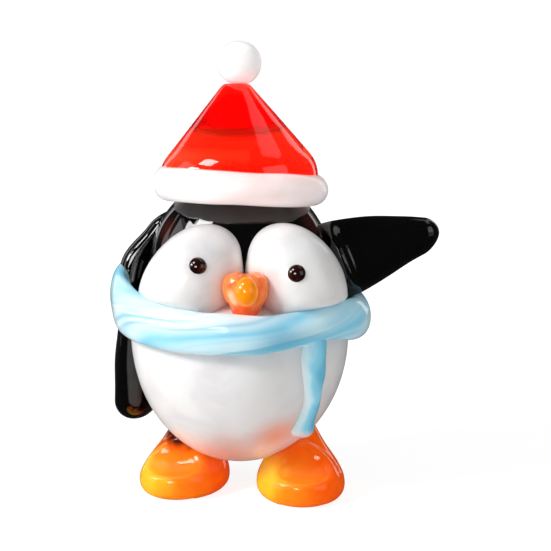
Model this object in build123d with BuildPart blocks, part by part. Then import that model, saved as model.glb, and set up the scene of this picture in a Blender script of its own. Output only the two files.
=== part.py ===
from build123d import *
import os
from math import cos, radians, sin, sqrt

# A flame-worked glass penguin, 50 mm tall: rounded gobs of coloured glass fused to each other.
# Lengths are in millimetres. The body's axis is Z, the floor is at zero and the face looks
# along -Y, so "left" is the side that a person in front of it sees on the left (-X).

# Body: one egg of glass, white in front and black behind
body_radius = 12.1
body_half_height = 14.55
body_height = 17.9
belly_back = 1.5
belly_top_share = 0.2474
belly_top = body_height + body_half_height * belly_top_share
face_seat = -3.4

# Head: a black ball that grows out of the body's top, cut flat under the hat
head_half_width = 10.4
head_half_depth = 9.1
head_half_height = 10.9
head_back = 1.3
head_rise = 6.6
head_height = body_height + head_rise

# Face: two white gobs that lean towards each other and meet in a crease. What is on the head
# is placed by its rise over the head's centre, which may be negative.
crease_side = 0.62
lobe_back = -5.9
lobe_half_width = 5.23
lobe_half_depth = 6.6
lobe_left_side = -4.84
lobe_left_rise = -0.41
lobe_left_height = head_height + lobe_left_rise
lobe_left_half_length = 7.07
lobe_left_turn = (4.95, 32.38, -16.61)
lobe_right_side = 5.97
lobe_right_rise = -0.22
lobe_right_height = head_height + lobe_right_rise
lobe_right_half_length = 6.84
lobe_right_turn = (3.25, -27.29, 15.76)

# Eyes: two dark beads pressed into the face
eye_radius = 1.2
eye_proud = 0.45
eye_left_side = -4.17
eye_left_rise = 2.3
eye_left_height = head_height + eye_left_rise
eye_right_side = 6.05
eye_right_rise = 1.5
eye_right_height = head_height + eye_right_rise

# Beak: a flat orange base with a smaller drop of glass on it
beak_side = 0.86
beak_back = -10.9
beak_rise = -0.55
beak_height = head_height + beak_rise
beak_radius = 2.45
beak_half_height = 2.35
beak_bevel = 0.45
# radius, height
beak_outline_shares = ((0.57, -1.0), (0.64, -0.5), (1.0, 0.35), (0.76, 1.0))
beak_tip_half_width = 1.2
beak_tip_half_depth = 1.4
beak_tip_half_height = 1.6
beak_tip_proud = 1.0
beak_tip_lift = 0.54

# Scarf: a flattened rod of glass wrapped round the neck, with one end that hangs down
scarf_stand_side = 2.25
scarf_stand_front = 2.05
scarf_reach_side = body_radius + scarf_stand_side
scarf_reach_front = body_radius + scarf_stand_front
scarf_half_thickness = 1.25
scarf_half_width = 2.1
scarf_rise = 2.07
scarf_height = body_height + scarf_rise
scarf_slant = 3.0
scarf_step = 45
scarf_seam = 1
# height, half width and reach at each step round the neck, from the front towards the right
scarf_shares = (
    (0.0, 1.0, 1.0),
    (0.17, 0.95, 1.0),
    (0.0, 1.15, 1.0),
    (0.3, 1.15, 0.94),
    (0.8, 1.15, 0.93),
    (0.97, 1.25, 0.93),
    (0.7, 1.45, 1.0),
    (0.2, 1.2, 1.0),
)

tail_sink = 0.9
tail_top = scarf_height - tail_sink
tail_drop = 10.2
tail_bottom = body_height - tail_drop
tail_side = 7.7
tail_half_width = 1.35
tail_half_thickness = 1.1
tail_proud = 1.3
tail_swing = 1.3
# height, width, swing to the side, lift towards the scarf's front
tail_shares = (
    (1.0, 0.95, 0.0, 0.3),
    (0.85, 1.0, 0.0, 0.25),
    (0.4, 0.64, 0.25, 0.0),
    (0.12, 0.9, 0.94, 0.0),
    (0.0, 0.45, 1.0, 0.0),
)

# Hanging wing: a flat paddle against the left side of the body, a little to the back
wing_hanging_turn = 20
wing_hanging_rise = 13.4
wing_hanging_drop = 10.7
wing_hanging_top = body_height + wing_hanging_rise
wing_hanging_bottom = body_height - wing_hanging_drop
wing_hanging_reach = 12.5
wing_hanging_half_width = 4.9
wing_hanging_half_thickness = 2.0
# height, reach, width, thickness
wing_hanging_shares = (
    (1.0, 0.66, 0.16, 0.3),
    (0.92, 0.745, 0.52, 0.76),
    (0.77, 0.925, 0.84, 1.0),
    (0.6, 0.945, 0.93, 0.9),
    (0.3, 0.985, 1.0, 1.0),
    (0.07, 1.0, 0.92, 0.97),
    (0.0, 0.97, 0.4, 0.4),
)

# Raised wing: a tapered paddle that points to the right
wing_raised_root = 8.5
wing_raised_tip = 22.1
wing_raised_back = -0.2
wing_raised_low_rise = 2.1
wing_raised_top_rise = 12.95
wing_raised_bottom = body_height + wing_raised_low_rise
wing_raised_top = body_height + wing_raised_top_rise
wing_raised_half_thickness = 2.4
# reach, bottom edge, top edge, thickness
wing_raised_shares = (
    (0.0, 0.02, 0.84, 1.0),
    (0.35, 0.2, 1.0, 0.96),
    (0.8, 0.565, 0.995, 0.75),
    (0.95, 0.71, 0.94, 0.5),
    (1.0, 0.79, 0.865, 0.17),
)

# Feet: soft orange pads that rise to an ankle under the body, each with a dish pressed into its top
foot_half_width = 4.9
foot_half_length = 6.4
foot_ankle_sink = 4.05
foot_ankle_height = body_height - body_half_height + foot_ankle_sink
foot_left_side = -6.3
foot_left_back = 0.2
foot_left_toe_out = 16
foot_right_side = 6.75
foot_right_back = -2.5
foot_right_toe_out = 4
# height, width, length, place towards the back
foot_shares = (
    (0.0, 0.9, 0.9, 0.0),
    (0.2, 1.0, 1.0, 0.0),
    (0.46, 0.86, 0.76, 0.1),
    (0.74, 0.57, 0.48, 0.22),
    (1.0, 0.36, 0.34, 0.3),
)
foot_press_radius = 6.5
foot_press_depth = 0.6
foot_press_height = 3.6
foot_press_share = 0.5

# Hat: a white band, a clear red cone and a white bobble
hat_back = 0.9
hat_rise = 7.85
hat_height = head_height + hat_rise
hat_roll = 3.4
hat_pitch = 3.5
brim_radius = 9.95
brim_top_radius = 9.15
brim_height = 3.65
brim_lower_rounding = 1.6
brim_upper_rounding = 1.5
cone_lean = -1.8
cone_seat = 1.9
cone_radius = 8.75
cone_shoulder = 4.5
cone_top_radius = 1.4
cone_height = 13.05
cone_rounding = 1.6
bobble_radius = 2.42
bobble_sink = 0.2
bobble_side = 0.45


def gob(half_width, half_depth, half_height):
    """A solid ellipsoid about the origin."""
    with BuildPart() as ball:
        Sphere(1)
        scale(by=(half_width, half_depth, half_height))
    return ball.part


def upright(plane):
    """The plane through a tilted plane's axis, for profiles that turn about that axis."""
    return Plane(plane.origin, x_dir=plane.x_dir, z_dir=-plane.y_dir)


def front_skin(solid, side, height):
    """The frontmost point of a solid, with the skin's direction, at a place on the face."""
    sight = Axis((side, 0, height), (0, -1, 0))
    return min(solid.find_intersection_points(sight), key=lambda found: found[0].Y)


def bead_place(solid, side, height, radius, proud):
    """Centre of a round bead that stands proud of a solid at a place on the face."""
    skin, outward = front_skin(solid, side, height)
    return skin + outward.normalized() * (proud - radius)


# One egg of glass: its front below the face is white and the rest is black
with BuildPart() as egg:
    with BuildSketch(Plane.XZ):
        with Locations((0, body_height)):
            Ellipse(body_radius, body_half_height)
        split(bisect_by=Plane.YZ)
    revolve(axis=Axis.Z)

with BuildPart() as belly:
    add(egg.part)
    split(bisect_by=Plane.XZ.offset(-belly_back), keep=Keep.TOP)
    split(bisect_by=Plane.XY.offset(belly_top), keep=Keep.BOTTOM)
belly.part.label = "belly"

hat_plane = Plane(Location((0, hat_back, hat_height), (-hat_pitch, hat_roll, 0)))

with BuildPart() as back:
    add(egg.part)
    split(bisect_by=Plane.XZ.offset(-face_seat), keep=Keep.BOTTOM)
    with Locations((0, head_back, head_height)):
        add(gob(head_half_width, head_half_depth, head_half_height))
    add(belly.part, mode=Mode.SUBTRACT)
    split(bisect_by=hat_plane, keep=Keep.BOTTOM)
back.part.label = "back"

# White gobs of the face, each sunk into the head and parted from the other at the crease
crease = Plane.YZ.offset(crease_side)

with BuildPart() as face_lobe_left:
    with Locations(Location((lobe_left_side, lobe_back, lobe_left_height), lobe_left_turn)):
        add(gob(lobe_half_width, lobe_half_depth, lobe_left_half_length))
    split(bisect_by=crease, keep=Keep.BOTTOM)
    add([back.part, belly.part], mode=Mode.SUBTRACT)
face_lobe_left.part.label = "face_lobe_left"

with BuildPart() as face_lobe_right:
    with Locations(Location((lobe_right_side, lobe_back, lobe_right_height), lobe_right_turn)):
        add(gob(lobe_half_width, lobe_half_depth, lobe_right_half_length))
    split(bisect_by=crease, keep=Keep.TOP)
    add([back.part, belly.part], mode=Mode.SUBTRACT)
face_lobe_right.part.label = "face_lobe_right"

# Dark beads of the eyes
with BuildPart() as eye_left:
    with Locations(bead_place(face_lobe_left.part, eye_left_side, eye_left_height, eye_radius, eye_proud)):
        Sphere(eye_radius)
    add(face_lobe_left.part, mode=Mode.SUBTRACT)
eye_left.part.label = "eye_left"

with BuildPart() as eye_right:
    with Locations(bead_place(face_lobe_right.part, eye_right_side, eye_right_height, eye_radius, eye_proud)):
        Sphere(eye_radius)
    add(face_lobe_right.part, mode=Mode.SUBTRACT)
eye_right.part.label = "eye_right"

# Hanging wing: rounded sections from the shoulder down to the tip
wing_out = Vector(-cos(radians(wing_hanging_turn)), sin(radians(wing_hanging_turn)), 0)
wing_along = Vector(sin(radians(wing_hanging_turn)), cos(radians(wing_hanging_turn)), 0)
wing_hanging_length = wing_hanging_top - wing_hanging_bottom

with BuildPart() as wing_hanging:
    for height_share, reach_share, width_share, thickness_share in wing_hanging_shares:
        centre = wing_out * wing_hanging_reach * reach_share
        height = wing_hanging_bottom + wing_hanging_length * height_share
        section_plane = Plane((centre.X, centre.Y, height), x_dir=wing_along, z_dir=(0, 0, 1))
        with BuildSketch(section_plane):
            Ellipse(wing_hanging_half_width * width_share, wing_hanging_half_thickness * thickness_share)
    loft()
    add([back.part, belly.part, face_lobe_left.part], mode=Mode.SUBTRACT)
wing_hanging.part.label = "wing_hanging"

# Raised wing: upright sections from the shoulder out to the tip
wing_raised_length = wing_raised_tip - wing_raised_root
wing_raised_height = wing_raised_top - wing_raised_bottom

with BuildPart() as wing_raised:
    for reach_share, lower_share, upper_share, thickness_share in wing_raised_shares:
        reach = wing_raised_root + wing_raised_length * reach_share
        height = wing_raised_bottom + wing_raised_height * (lower_share + upper_share) / 2
        half_height = wing_raised_height * (upper_share - lower_share) / 2
        with BuildSketch(Plane((reach, wing_raised_back, height), x_dir=(0, 1, 0), z_dir=(1, 0, 0))):
            Ellipse(wing_raised_half_thickness * thickness_share, half_height)
    loft()
    add([back.part, belly.part, face_lobe_right.part], mode=Mode.SUBTRACT)
wing_raised.part.label = "wing_raised"


def scarf_section(step):
    """Plane and half width of the scarf's section at a step round the neck."""
    angle = radians(step * scarf_step)
    height_share, width_share, reach_share = scarf_shares[step % len(scarf_shares)]
    centre = (
        (scarf_reach_side - scarf_half_thickness) * reach_share * sin(angle),
        -(scarf_reach_front - scarf_half_thickness) * reach_share * cos(angle),
        scarf_height + scarf_slant * height_share,
    )
    outward = (sin(angle), -cos(angle), 0)
    along = (cos(angle), sin(angle), 0)
    return Plane(centre, x_dir=outward, z_dir=along), scarf_half_width * width_share


# Scarf: two lofted halves of a ring, which meet under the tail and behind the neck
half_turn = len(scarf_shares) // 2


def scarf_half(first):
    """Half of the ring, from one step to the step across the neck."""
    with BuildPart() as half_ring:
        for step in range(first, first + half_turn + 1):
            section_plane, half_width = scarf_section(step)
            with BuildSketch(section_plane):
                Ellipse(scarf_half_thickness, half_width)
        loft()
    return half_ring.part


with BuildPart() as scarf_wrap:
    add([scarf_half(scarf_seam), scarf_half(scarf_seam + half_turn)])
    neighbours = [belly, back, face_lobe_left, face_lobe_right, wing_hanging, wing_raised]
    add([piece.part for piece in neighbours], mode=Mode.SUBTRACT)
scarf_wrap.part.label = "scarf_wrap"

# Beak: the base fills the crease, wide above and narrow below, and a drop of glass sits on it
beak_plane = Plane((beak_side, beak_back, beak_height))
beak_points = []
for out_share, up_share in beak_outline_shares:
    beak_points.append((beak_radius * out_share, beak_half_height * up_share))

with BuildPart() as beak_base:
    with BuildSketch(upright(beak_plane)):
        with BuildLine():
            Polyline((0, -beak_half_height), *beak_points, (0, beak_half_height), close=True)
        make_face()
        chamfer(vertices().filter_by(lambda corner: corner.X > 0), beak_bevel)
    revolve(axis=Axis(beak_plane.origin, beak_plane.z_dir))
    neighbours = [face_lobe_left, face_lobe_right, back, belly, scarf_wrap]
    add([piece.part for piece in neighbours], mode=Mode.SUBTRACT)
beak_base.part.label = "beak_base"

tip_back = beak_back - beak_radius - beak_tip_proud + beak_tip_half_depth

with BuildPart() as beak_tip:
    with Locations((beak_side, tip_back, beak_height + beak_tip_lift)):
        add(gob(beak_tip_half_width, beak_tip_half_depth, beak_tip_half_height))
    add([beak_base.part, scarf_wrap.part], mode=Mode.SUBTRACT)
beak_tip.part.label = "beak_tip"

# Scarf's tail: it comes out from under the band, hangs down the belly and ends in a round drop
def belly_front(side, height):
    """How far to the front the belly's skin lies at a place."""
    radius = body_radius * sqrt(1 - ((height - body_height) / body_half_height) ** 2)
    return -sqrt(radius**2 - side**2)


tail_length = tail_top - tail_bottom
band_front = -scarf_reach_front * sqrt(1 - (tail_side / scarf_reach_side) ** 2)

with BuildPart() as scarf_tail:
    for height_share, width_share, swing_share, lift_share in tail_shares:
        height = tail_bottom + tail_length * height_share
        side = tail_side - tail_swing * swing_share
        skin = belly_front(side, height)
        reach = skin + (band_front - skin) * lift_share - tail_proud + tail_half_thickness
        with BuildSketch(Plane((side, reach, height), x_dir=(1, 0, 0), z_dir=(0, 0, 1))):
            Ellipse(tail_half_width * width_share, tail_half_thickness * width_share)
    loft()
    add([belly.part, back.part, face_lobe_right.part, scarf_wrap.part], mode=Mode.SUBTRACT)
scarf_tail.part.label = "scarf_tail"


def foot(side, place_back, toe_out):
    """A pad with a flat sole, a pressed top and an ankle that rises into the body."""
    lengthwise = Vector(sin(radians(toe_out)), -cos(radians(toe_out)), 0)
    with BuildPart() as pad:
        for height_share, width_share, length_share, back_share in foot_shares:
            centre = Vector(side, place_back, 0) - lengthwise * foot_half_length * back_share
            height = foot_ankle_height * height_share
            with BuildSketch(Plane((centre.X, centre.Y, height), x_dir=lengthwise, z_dir=(0, 0, 1))):
                Ellipse(foot_half_length * length_share, foot_half_width * width_share)
        loft()
        press_side = side + lengthwise.X * foot_half_length * foot_press_share
        skin, outward = front_skin(pad.part, press_side, foot_press_height)
        with Locations(skin + outward.normalized() * (foot_press_radius - foot_press_depth)):
            Sphere(foot_press_radius, mode=Mode.SUBTRACT)
        add([belly.part, back.part], mode=Mode.SUBTRACT)
    return pad


foot_left = foot(foot_left_side, foot_left_back, -foot_left_toe_out)
foot_left.part.label = "foot_left"
foot_right = foot(foot_right_side, foot_right_back, foot_right_toe_out)
foot_right.part.label = "foot_right"

# Hat: everything stands on the head's flat cut
cone_plane = Plane(Location((0, hat_back, hat_height), (-hat_pitch, cone_lean, 0)))

with BuildPart() as hat_cone:
    with BuildSketch(upright(cone_plane)):
        with BuildLine():
            Polyline(
                (0, cone_seat),
                (cone_radius, cone_seat),
                (cone_radius, cone_shoulder),
                (cone_top_radius, cone_height),
                (0, cone_height),
                close=True,
            )
        make_face()
        fillet(vertices().group_by(Axis.X)[-1].sort_by(Axis.Y)[-1], cone_rounding)
    revolve(axis=Axis(cone_plane.origin, cone_plane.z_dir))
hat_cone.part.label = "hat_cone"

with BuildPart() as hat_brim:
    with BuildSketch(upright(hat_plane)):
        with BuildLine():
            Polyline(
                (0, 0),
                (brim_radius, 0),
                (brim_top_radius, brim_height),
                (0, brim_height),
                close=True,
            )
        make_face()
        fillet(vertices().group_by(Axis.X)[-1], brim_lower_rounding)
        fillet(vertices().group_by(Axis.Y)[-1].sort_by(Axis.X)[-1], brim_upper_rounding)
    revolve(axis=Axis(hat_plane.origin, hat_plane.z_dir))
    add(hat_cone.part, mode=Mode.SUBTRACT)
hat_brim.part.label = "hat_brim"

with BuildPart() as hat_bobble:
    with Locations(cone_plane.location * Location((bobble_side, 0, cone_height + bobble_radius - bobble_sink))):
        Sphere(bobble_radius)
    add(hat_cone.part, mode=Mode.SUBTRACT)
hat_bobble.part.label = "hat_bobble"

pieces = [
    belly, back, face_lobe_left, face_lobe_right, eye_left, eye_right, beak_base, beak_tip,
    scarf_wrap, scarf_tail, wing_hanging, wing_raised, foot_left, foot_right,
    hat_brim, hat_cone, hat_bobble,
]

# The origin goes to the floor, under the middle of the whole figurine's bounding box
whole_box = Compound([piece.part for piece in pieces]).bounding_box()
to_origin = Pos(-whole_box.center().X, -whole_box.center().Y, -whole_box.min.Z)

os.makedirs("parts", exist_ok=True)
for piece in pieces:
    export_step(to_origin * piece.part, f"parts/{piece.part.label}.step")
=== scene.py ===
from math import atan2, cos, pi, radians, sin, sqrt

import bmesh
import bpy
from mathutils import Matrix, Vector, noise


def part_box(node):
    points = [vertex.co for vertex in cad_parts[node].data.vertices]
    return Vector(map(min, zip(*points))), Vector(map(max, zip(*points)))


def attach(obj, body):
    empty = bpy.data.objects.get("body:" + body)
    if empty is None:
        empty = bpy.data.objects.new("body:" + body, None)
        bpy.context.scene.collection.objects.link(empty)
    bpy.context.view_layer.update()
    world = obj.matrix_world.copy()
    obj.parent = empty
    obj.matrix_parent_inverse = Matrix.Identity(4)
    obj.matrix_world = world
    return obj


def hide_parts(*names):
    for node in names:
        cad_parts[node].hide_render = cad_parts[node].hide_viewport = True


bl_info = {
    "name": "Glass penguin figurine",
    "version": (1, 0, 0),
    "blender": (4, 5, 0),
    "location": "3D View > Sidebar > Penguin",
    "description": "Builds a flame-worked glass penguin with its scarf, its hat and a white stage",
    "category": "Object",
}

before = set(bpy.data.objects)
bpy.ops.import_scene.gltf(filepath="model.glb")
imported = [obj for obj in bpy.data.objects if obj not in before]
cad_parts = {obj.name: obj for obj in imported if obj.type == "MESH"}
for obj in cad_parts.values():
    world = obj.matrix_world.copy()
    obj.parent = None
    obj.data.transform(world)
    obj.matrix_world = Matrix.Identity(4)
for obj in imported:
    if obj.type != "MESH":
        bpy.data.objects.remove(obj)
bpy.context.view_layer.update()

MM = 0.001
BODY_RADIUS = 12.1 * MM
RIGHT = Vector((1, 0, 0))
BACK = Vector((0, 1, 0))
UP = Vector((0, 0, 1))


def mm(side, back, height):
    """A place given in millimetres."""
    return Vector((side * MM, back * MM, height * MM))


def body_axis():
    """Foot of the body's axis on the floor, found from the CAD belly, whose front is one radius from it."""
    low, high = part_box("belly")
    return Vector(((low.x + high.x) / 2, low.y + BODY_RADIUS, 0))


HOME = body_axis()


# Settings: sizes in metres and colours, in one group on the scene for each operator


def length(name, description, millimetres):
    return bpy.props.FloatProperty(
        name=name, description=description, default=millimetres * MM, unit="LENGTH", precision=5
    )


def share(name, description, default):
    return bpy.props.FloatProperty(name=name, description=description, default=default, subtype="FACTOR")


def angle(name, description, degrees):
    return bpy.props.FloatProperty(
        name=name, description=description, default=radians(degrees), unit="ROTATION"
    )


def place(name, description, side, back, height):
    return bpy.props.FloatVectorProperty(
        name=name, description=description, default=mm(side, back, height), unit="LENGTH", precision=5
    )


def colour(name, description, red, green, blue):
    return bpy.props.FloatVectorProperty(
        name=name, description=description, default=(red, green, blue), subtype="COLOR", min=0, max=1
    )


class PENGUIN_PG_body(bpy.types.PropertyGroup):
    half_height: length("Half height", "Half the height of the egg that is the body", 14.55)
    height: length("Centre height", "Height of the body's centre over the floor", 17.9)
    belly_back: length("Belly edge", "Where the white front ends on the side, behind the axis", 1.5)
    belly_top: length("Belly top", "Height at which the white front goes under the face", 21.5)
    seam: length("Seam", "Width of the rounded edge of the white front", 0.7)
    face_seat: length("Face seat", "How far in front of the axis the black glass ends behind the face", 3.4)
    head_half: place("Head half sizes", "Half sizes of the black head", 10.4, 9.1, 10.9)
    head_centre: place("Head centre", "Centre of the black head", 0, 1.3, 24.5)
    white: colour("White", "Opal white glass", 0.88, 0.87, 0.865)
    milk: colour("Milk", "Thinner, greyer white glass", 0.78, 0.765, 0.775)
    black: colour("Black", "Black glass", 0.0012, 0.0012, 0.0012)
    # Ember is the glass's own tone in its veins, and painted red-brown light showing through in the thin
    # places.
    ember: colour("Thin black", "Red-brown that thin black glass lets through", 0.075, 0.013, 0.007)
    # Glow is painted light: the pink that orange glass throws on the white beside it, painted into the white
    # glass.
    glow: colour("Glow", "Pink tint that orange glass throws on the white beside it", 0.9, 0.29, 0.15)


class PENGUIN_PG_face(bpy.types.PropertyGroup):
    crease_side: length("Crease", "Side place of the crease between the two gobs", 0.62)
    parting: length("Parting", "Half the gap between the gobs at its widest", 0.32)
    parting_height: length("Parting height", "Height from which the gobs part", 25.2)
    fullness: share("Fullness", "How much wider a gob is low on its inner side", 0.95)
    half_width: length("Gob half width", "Half width of each gob", 5.23)
    half_depth: length("Gob half depth", "Half depth of each gob", 6.6)
    left_centre: place("Left gob", "Centre of the gob on the left", -4.84, -5.9, 24.09)
    left_half_length: length("Left half length", "Half length of the gob on the left", 7.07)
    right_centre: place("Right gob", "Centre of the gob on the right", 5.97, -5.9, 24.28)
    right_half_length: length("Right half length", "Half length of the gob on the right", 6.84)
    eye_radius: length("Eye radius", "Radius of the bead of an eye", 1.06)
    eye_proud: length("Eye height", "How far a bead stands out of the face", 0.44)
    left_eye: place("Left eye", "Place of the left eye seen from the front", -4.06, 0, 27.06)
    right_eye: place("Right eye", "Place of the right eye seen from the front", 6.13, 0, 26.32)
    eye: colour("Eye", "Dark brown glass of the beads", 0.012, 0.003, 0.002)
    eye_light: colour("Eye light", "Brown that the beads let through", 0.1, 0.014, 0.008)


class PENGUIN_PG_beak(bpy.types.PropertyGroup):
    centre: place("Centre", "Centre of the beak's base", 0.86, -10.9, 23.95)
    half_width: length("Half width", "Half width of the base", 2.45)
    half_depth: length("Half depth", "Half depth of the base", 2.3)
    half_height: length("Half height", "Half height of the base", 2.33)
    notch: length("Notch", "Depth of the dent in the top of the base", 0.3)
    tip_half: place("Tip half sizes", "Half sizes of the drop on the beak", 1.24, 1.4, 1.58)
    tip_offset: place("Tip place", "The drop's centre from the base's centre", 0.1, -2.05, 0.54)
    orange: colour("Orange", "Orange glass of the base", 0.98, 0.19, 0.025)
    peach: colour("Peach", "Thinner, paler orange glass", 1.0, 0.29, 0.08)
    # The pale streak is a painted highlight on the base's left side.
    pale: colour("Pale streak", "Pale streak beside the drop", 1.0, 0.62, 0.4)
    red: colour("Red spots", "Redder glass low on the base and in its spots", 0.85, 0.09, 0.015)
    drop: colour("Drop", "Yellow-orange glass of the drop", 1.0, 0.29, 0.006)
    drop_low: colour("Low drop", "Deeper orange of the drop's lower edge", 1.0, 0.2, 0.008)


class PENGUIN_PG_scarf(bpy.types.PropertyGroup):
    reach_side: length("Reach at the side", "Outer half width of the ring", 14.35)
    reach_front: length("Reach in front", "Outer half depth of the ring", 14.15)
    half_thickness: length("Half thickness", "Half thickness of the band", 1.25)
    half_width: length("Half width", "Half width of the band", 2.1)
    height: length("Height", "Height of the band in front", 19.97)
    slant: length("Slant", "How much higher the band runs at its highest", 3.0)
    tail_top: length("Tail top", "Height where the hanging end starts, under the band", 19.07)
    tail_bottom: length("Tail bottom", "Height of the drop at the hanging end", 7.0)
    tail_side: length("Tail side", "Side place of the hanging end", 7.95)
    tail_swing: length("Tail swing", "How far the hanging end swings back", 1.3)
    tail_half_width: length("Tail half width", "Half width of the hanging end", 1.35)
    tail_half_thickness: length("Tail half thickness", "Half thickness of the hanging end", 1.1)
    tail_proud: length("Tail height", "How far the hanging end stands out of the belly", 1.3)
    blue: colour("Blue", "Light blue glass", 0.27, 0.67, 0.86)
    pale: colour("Pale blue", "Pale streaks in the band", 0.66, 0.88, 0.95)
    white: colour("White streak", "White streaks in the band", 0.86, 0.92, 0.94)
    teal: colour("Teal", "Deeper patches in the band", 0.14, 0.48, 0.66)


class PENGUIN_PG_wings(bpy.types.PropertyGroup):
    hanging_turn: angle("Turn", "Turn of the hanging wing towards the back", 20)
    hanging_top: length("Hanging top", "Height of the shoulder", 31.3)
    hanging_bottom: length("Hanging bottom", "Height of the hanging wing's tip", 7.2)
    hanging_reach: length("Hanging reach", "Distance of the wing's middle from the axis", 12.5)
    hanging_half_width: length("Hanging half width", "Half width of the hanging wing", 4.9)
    hanging_half_thickness: length("Hanging half thickness", "Half thickness of the hanging wing", 2.0)
    raised_root: length("Raised root", "Where the raised wing starts in the head", 8.5)
    raised_tip: length("Raised tip", "Reach of the raised wing's tip", 22.1)
    raised_back: length("Raised place", "Place of the raised wing in front of the axis", 0.2)
    raised_bottom: length("Raised bottom", "Height of the raised wing's lowest edge", 20.0)
    raised_top: length("Raised top", "Height of the raised wing's highest edge", 30.85)
    raised_half_thickness: length("Raised half thickness", "Half thickness of the raised wing", 2.4)
    lip_side: length("Lip place", "Side place of the upper end of the lip round the raised wing's root", 9.5)
    lip_slant: length("Lip slant", "How far the lip runs outwards on its way down", 3.1)
    lip_top: length("Lip top", "Height of the lip's upper end", 30.6)
    lip_length: length("Lip length", "Height that the lip covers", 7.6)
    lip_half_width: length("Lip half width", "Half width of the lip", 1.35)
    lip_height: length("Lip height", "How far the lip stands out of the wing", 0.85)


class PENGUIN_PG_feet(bpy.types.PropertyGroup):
    half_width: length("Half width", "Half width of a foot", 4.9)
    half_length: length("Half length", "Half length of a foot", 6.4)
    ankle_height: length("Ankle height", "Height of the ankle's top", 7.4)
    left_place: place("Left foot", "Place of the left foot", -6.3, 0.2, 0)
    left_turn: angle("Left turn", "Turn of the left foot's toes outwards", 16)
    right_place: place("Right foot", "Place of the right foot", 6.75, -2.5, 0)
    right_turn: angle("Right turn", "Turn of the right foot's toes outwards", 4)
    dish_forward: share("Dish place", "How far forward the dish lies, in half lengths", 0.52)
    dish_height: length("Dish height", "Height of the dish's middle", 3.5)
    dish_half_width: length("Dish half width", "Half width of the dish", 3.0)
    dish_half_length: length("Dish half length", "Half length of the dish", 2.5)
    dish_depth: length("Dish depth", "Depth of the dish pressed into the top", 1.0)
    rim_height: length("Rim height", "Height of the rim pressed up round the dish", 0.42)
    yellow: colour("Yellow", "Yellow-orange of a foot's left rim", 1.0, 0.45, 0.025)
    orange: colour("Orange", "Orange of a foot's middle", 1.0, 0.23, 0.01)
    red: colour("Red", "Red-orange of a foot's right side", 1.0, 0.12, 0.005)
    # A dark red-brown put on the top of the left ankle.
    dark_ankle: colour("Dark ankle", "Dark red-brown of the left ankle", 0.06, 0.004, 0.002)


class PENGUIN_PG_hat(bpy.types.PropertyGroup):
    seat: place("Seat", "Centre of the head's flat top, which the hat stands on", 0, 0.9, 32.35)
    roll: angle("Roll", "Sideways tilt of the white band", 2.1)
    pitch: angle("Pitch", "Tilt of the hat towards the face", 3.5)
    cone_lean: angle("Cone lean", "Sideways tilt of the cone", -1.8)
    brim_radius: length("Band radius", "Radius of the white band at its lower edge", 9.95)
    brim_height: length("Band height", "Height of the white band", 3.75)
    brim_taper: share("Band taper", "How much lower the white band is on its right", 0.07)
    brim_sink: length("Band sink", "How far the white band is pressed over the head", 0.12)
    cone_seat: length("Cone seat", "Height of the cone's underside over the head", 1.9)
    cone_radius: length("Cone radius", "Radius of the cone's foot", 8.75)
    cone_shoulder: length("Cone shoulder", "Height where the cone starts to narrow", 4.5)
    cone_top_radius: length("Cone top radius", "Radius of the cone's top", 1.4)
    cone_height: length("Cone height", "Height of the cone's top over the head", 13.05)
    bubble_radius: length("Bubble radius", "Radius of the air bubbles in the cone", 0.15)
    bobble_radius: length("Bobble radius", "Radius of the bobble", 2.42)
    bobble_sink: length("Bobble sink", "How far the bobble is sunk into the cone", 0.2)
    bobble_side: length("Bobble side", "Side place of the bobble on the cone", 0.45)
    thin_red: colour("Thin red", "Tint of the light that crosses the red glass", 0.995, 0.42, 0.2)
    # High red and the dark line are painted on the cone's front only, with low red below them, as a painted
    # refraction of the band seen through the glass.
    low_red: colour("Low red", "Tint of the cone's skin below the dark line", 1, 0.65, 0.48)
    high_red: colour("High red", "Tint of the cone's skin above the dark line", 1, 0.0002, 0.0004)
    painted_line_red: colour("Line red", "Tint of the dark line across the cone", 0.4, 0.0002, 0.0002)
    speck_red: colour("Speck red", "Tint of the specks at the cone's foot", 0.45, 0.08, 0.05)
    depth: bpy.props.FloatProperty(
        name="Depth of colour", description="How strongly the red glass absorbs per metre", default=330
    )


class PENGUIN_PG_stage(bpy.types.PropertyGroup):
    camera: place("Camera", "Place of the camera from the foot of the body's axis", 3.95, -170, 50)
    aim: place("Aim", "Point that the camera looks at", 3.95, 0, 24.24)
    lens: bpy.props.FloatProperty(name="Lens", description="Focal length in millimetres", default=101.13)
    floor_radius: length("Floor radius", "Radius of the white floor", 900)
    ambient: share("Ambient", "Brightness of the surroundings as a light", 0.36)
    reflected: share("Reflected", "Brightness of the surroundings in reflections", 0.03)
    backlight: bpy.props.FloatProperty(
        name="Backlight", description="Brightness of the surroundings through clear glass", default=2.6
    )


GROUPS = {
    "penguin_body": PENGUIN_PG_body,
    "penguin_face": PENGUIN_PG_face,
    "penguin_beak": PENGUIN_PG_beak,
    "penguin_scarf": PENGUIN_PG_scarf,
    "penguin_wings": PENGUIN_PG_wings,
    "penguin_feet": PENGUIN_PG_feet,
    "penguin_hat": PENGUIN_PG_hat,
    "penguin_stage": PENGUIN_PG_stage,
}

# Shares along each piece, from one end to the other, close to those of the CAD.
# height, half width and reach of the scarf at each eighth of a turn, from the front to the right
SCARF_SHARES = (
    (0.0, 1.0, 1.0),
    (0.17, 0.95, 1.0),
    (0.0, 1.15, 1.0),
    (0.3, 1.15, 0.94),
    (0.8, 1.15, 0.93),
    (0.97, 1.25, 1.035),
    (0.7, 1.45, 1.01),
    (0.2, 1.2, 1.0),
)
# height, width, swing, lift towards the scarf's front
TAIL_SHARES = (
    (1.0, 0.95, 0.0, 0.3),
    (0.85, 1.0, 0.0, 0.25),
    (0.62, 0.9, 0.03, 0.05),
    (0.4, 0.76, 0.2, 0.0),
    (0.2, 0.86, 0.7, 0.0),
    (0.1, 1.1, 0.93, 0.0),
    (0.0, 1.14, 1.0, 0.0),
)
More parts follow.
